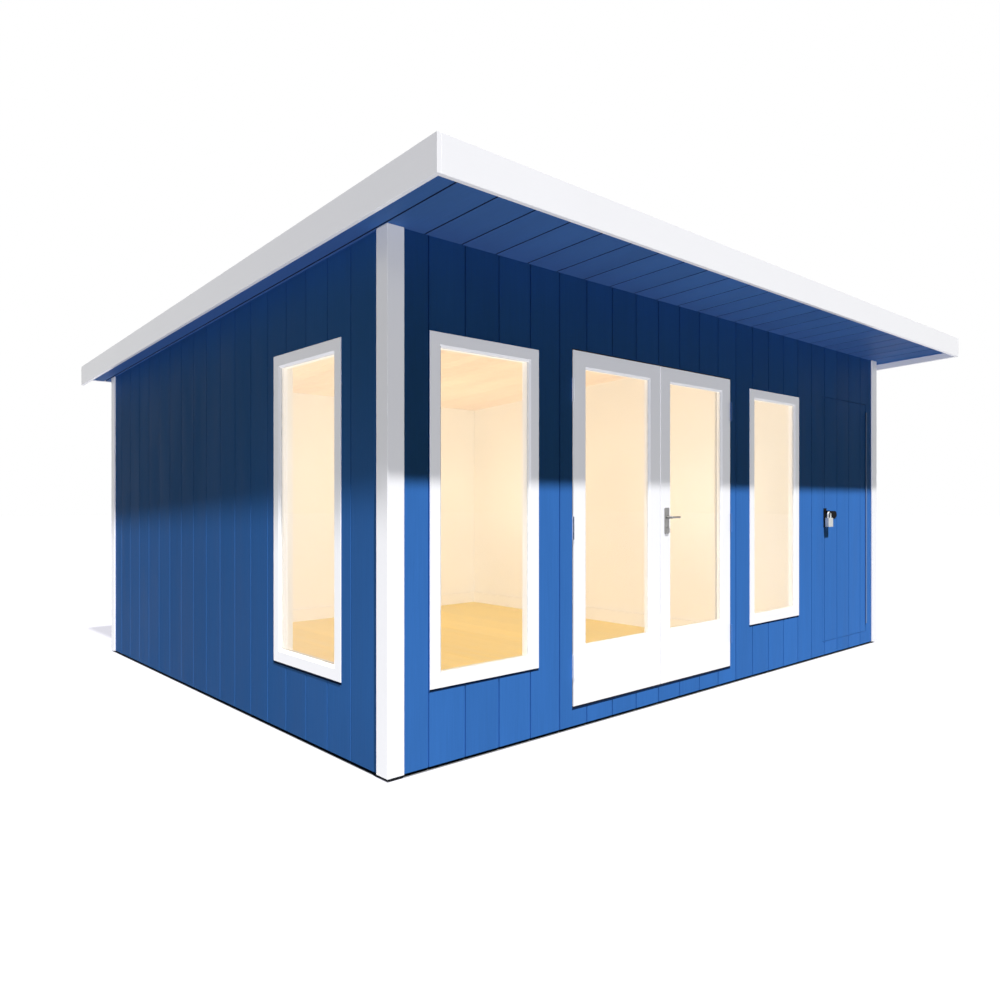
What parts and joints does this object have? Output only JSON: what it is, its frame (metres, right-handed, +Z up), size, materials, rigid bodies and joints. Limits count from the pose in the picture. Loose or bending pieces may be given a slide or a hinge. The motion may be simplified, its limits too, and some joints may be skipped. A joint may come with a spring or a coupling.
{
  "type": "garden office cabin",
  "caption": "Clad timber garden office with a mono-pitch roof, glazed double doors that swing outward, fixed windows and a store behind a clad door.",
  "frame": {"origin": "on the ground, in the middle of the roof's outline seen from above", "axes": "+X to the right along the front, +Y to the back, +Z up; the front faces -Y"},
  "size_m": [5.266, 4.633, 2.4989],
  "materials": {
    "cladding": "satin blue paint on timber boards",
    "white_trim": "white paint on timber",
    "white_joinery": "white satin joinery",
    "cream_lining": "cream paint on boards",
    "bare_timber": "bare softwood and sheathing board",
    "floor_boards": "lacquered honey-coloured boards",
    "membrane": "dark grey roofing membrane",
    "glass": "clear sealed double glazing",
    "steel": "satin steel",
    "black_iron": "black coated iron",
    "padlock_steel": "bright steel"
  },
  "bodies": {
    "building": {"left_wall": "cladding", "right_wall": "cladding", "back_wall": "cladding", "front_wall_left": "cladding", "front_wall_middle": "cladding", "front_wall_right": "cladding", "front_wall_headers": "cladding", "front_wall_skirts": "cladding", "soffit_boards": "cladding", "front_fascia": "white_trim", "rear_fascia": "white_trim", "left_barge_board": "white_trim", "right_barge_board": "white_trim", "front_left_post": "white_trim", "front_right_post": "white_trim", "rear_left_post": "white_trim", "rear_right_post": "white_trim", "skirting_boards": "white_trim", "front_left_window_frame": "white_joinery", "front_right_window_frame": "white_joinery", "side_window_frame": "white_joinery", "double_door_frame": "white_joinery", "store_door_frame": "white_joinery", "office_lining": "cream_lining", "ceiling_lining": "cream_lining", "partition_wall": "cream_lining", "floor_bearers": "bare_timber", "floor_deck": "bare_timber", "store_lining": "bare_timber", "roof_panel": "bare_timber", "office_floor": "floor_boards", "roof_membrane": "membrane", "window_glass": "glass", "frame_hinges": "steel"},
    "left_door": {"left_door_leaf": "white_joinery", "left_door_glass": "glass", "left_door_hinges": "steel"},
    "right_door": {"right_door_leaf": "white_joinery", "right_door_glass": "glass", "right_door_hinges": "steel", "door_handle_plates": "steel"},
    "lever": {"door_lever": "steel"},
    "store_door": {"store_door_leaf": "cladding", "store_door_hinge": "steel", "store_hasp": "black_iron", "store_padlock": "padlock_steel"}
  },
  "joints": [
    {"name": "left_door_hinge", "type": "hinge", "parent": "building", "child": "left_door", "pos_m": [-1.3, -1.7475, 1.05], "axis": [0, 0, -1], "range_deg": [0, 100]},
    {"name": "right_door_hinge", "type": "hinge", "parent": "building", "child": "right_door", "pos_m": [0.204, -1.7475, 1.05], "axis": [0, 0, 1], "range_deg": [0, 100]},
    {"name": "store_door_hinge", "type": "hinge", "parent": "building", "child": "store_door", "pos_m": [2.262, -1.7425, 1.05], "axis": [0, 0, 1], "range_deg": [0, 100]},
    {"name": "lever_turn", "type": "hinge", "parent": "right_door", "child": "lever", "pos_m": [-0.492, -1.7405, 1.095], "axis": [0, 1, 0], "range_deg": [0, 40], "stiffness_Nm_per_rad": 1, "springref_deg": -45.84}
  ]
}
